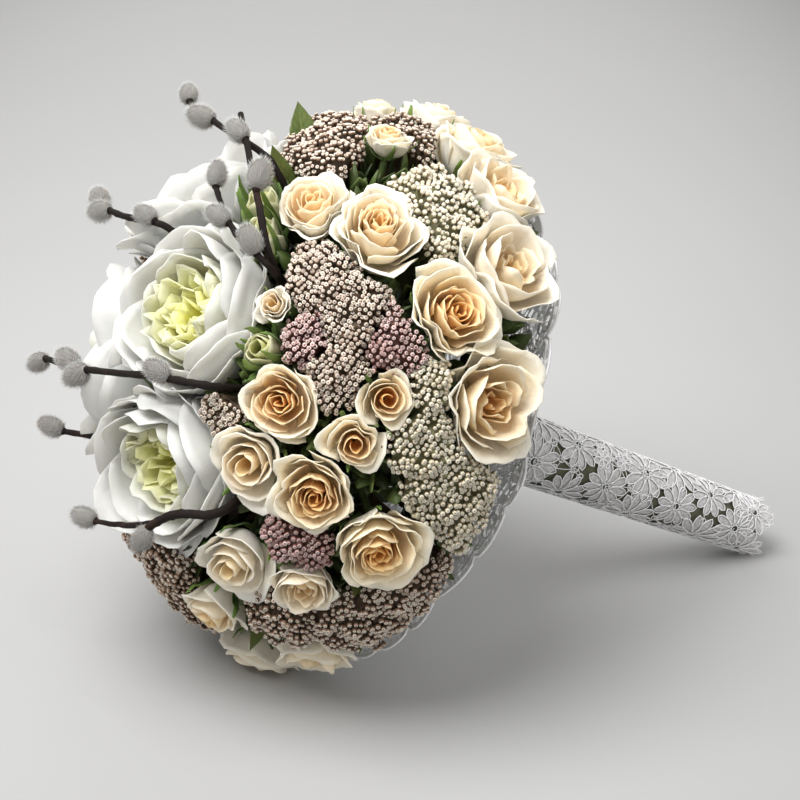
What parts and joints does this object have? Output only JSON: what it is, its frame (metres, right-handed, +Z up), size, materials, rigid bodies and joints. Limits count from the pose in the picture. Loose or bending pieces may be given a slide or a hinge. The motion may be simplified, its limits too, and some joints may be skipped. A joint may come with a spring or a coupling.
{
  "type": "bridal bouquet",
  "caption": "Hand-tied dome of roses, peonies, rice flower and pussy willow lying on its side, with a lace collar behind it and a round handle wrapped in tape and lace.",
  "frame": {"origin": "on the table, under the middle of the whole bouquet's bounding box", "axes": "+X along the handle from the flowers towards its cut end, +Z up from the table, +Y to the left when looking from the flowers towards the handle"},
  "size_m": [0.3878, 0.2836, 0.2732],
  "materials": {
    "peony_petals": "soft white petals with a yellow-green heart",
    "rose_petals": "cream petals that deepen to peach and orange in the heart",
    "green_buds": "matte green sepals round a pale bud",
    "rice_beige": "dry beige and brown flower beads",
    "rice_cream": "dry cream flower beads",
    "rice_pink": "dry pink flower beads",
    "willow_twig": "dark bark with silver-grey furry catkins",
    "stem_green": "matte green stems and leaves",
    "twine": "rough twine",
    "green_tape": "smooth olive-green satin tape",
    "lace": "silver-white open lace",
    "tulle_lace": "half-transparent corded net"
  },
  "bodies": {
    "root": {"stem_bundle": "stem_green", "flower_stems": "stem_green", "binding_tie": "twine", "stem_wrap": "green_tape", "lace_sleeve": "lace", "lace_collar": "tulle_lace", "peony_1": "peony_petals", "peony_2": "peony_petals", "peony_3": "peony_petals", "peony_4": "peony_petals", "rose_01": "rose_petals", "rose_02": "rose_petals", "rose_03": "rose_petals", "rose_04": "rose_petals", "rose_05": "rose_petals", "rose_06": "rose_petals", "rose_07": "rose_petals", "rose_08": "rose_petals", "rose_09": "rose_petals", "rose_10": "rose_petals", "rose_11": "rose_petals", "rose_12": "rose_petals", "rose_13": "rose_petals", "rose_14": "rose_petals", "rose_15": "rose_petals", "rose_16": "rose_petals", "rose_17": "rose_petals", "rose_18": "rose_petals", "rose_19": "rose_petals", "rose_20": "rose_petals", "rose_21": "rose_petals", "rose_22": "rose_petals", "rose_23": "rose_petals", "rose_24": "rose_petals", "rose_25": "rose_petals", "rose_26": "rose_petals", "rose_27": "rose_petals", "rose_28": "rose_petals", "bud_1": "green_buds", "bud_2": "green_buds", "bud_3": "green_buds", "rice_01": "rice_beige", "rice_02": "rice_beige", "rice_03": "rice_cream", "rice_04": "rice_beige", "rice_05": "rice_pink", "rice_06": "rice_pink", "rice_07": "rice_cream", "rice_08": "rice_beige", "rice_09": "rice_beige", "rice_10": "rice_pink", "rice_11": "rice_beige", "rice_12": "rice_beige", "rice_13": "rice_beige", "willow_1": "willow_twig", "willow_2": "willow_twig", "willow_3": "willow_twig", "willow_4": "willow_twig", "willow_5": "willow_twig", "willow_6": "willow_twig"}
  },
  "joints": []
}
